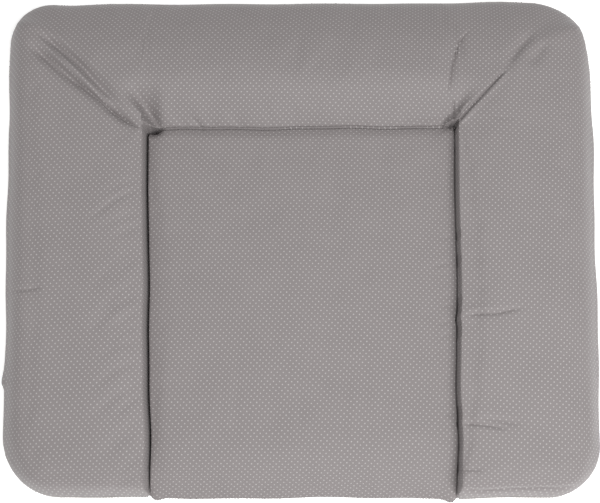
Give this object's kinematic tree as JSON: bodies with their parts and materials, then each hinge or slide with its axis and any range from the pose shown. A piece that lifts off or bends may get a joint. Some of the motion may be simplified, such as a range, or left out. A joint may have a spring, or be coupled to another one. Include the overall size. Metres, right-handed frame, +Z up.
{
  "type": "changing pad",
  "caption": "Padded changing pad with a quilted lying panel and a raised padded wedge on the left, right and back, in a dotted wipe-clean cover.",
  "frame": {"origin": "centre of the bounding box in plan, on the plane the pad rests on", "axes": "+Z up, +X towards the right wedge (the longest side), +Y towards the back wedge; the front edge, at -Y, has no wedge"},
  "size_m": [0.8538, 0.7173, 0.0768],
  "materials": {
    "dotted_cotton": "coated cotton, matt with a slight sheen, small pale dots",
    "backing_sheet": "plain light coated fabric",
    "foam": "open-cell foam",
    "fleece": "bonded polyester fleece",
    "thread": "spun polyester thread"
  },
  "bodies": {
    "root": {"top_sheet": "dotted_cotton", "bottom_sheet": "backing_sheet", "left_wedge_foam": "foam", "right_wedge_foam": "foam", "back_wedge_foam": "foam", "panel_foam": "foam", "left_wedge_fleece": "fleece", "right_wedge_fleece": "fleece", "back_wedge_fleece": "fleece", "panel_fleece": "fleece", "left_seam_stitches": "thread", "right_seam_stitches": "thread", "back_seam_stitches": "thread", "edge_seam_stitches": "thread", "left_pleat_stitches": "thread", "right_pleat_stitches": "thread", "closing_seam_stitches": "thread"}
  },
  "joints": []
}
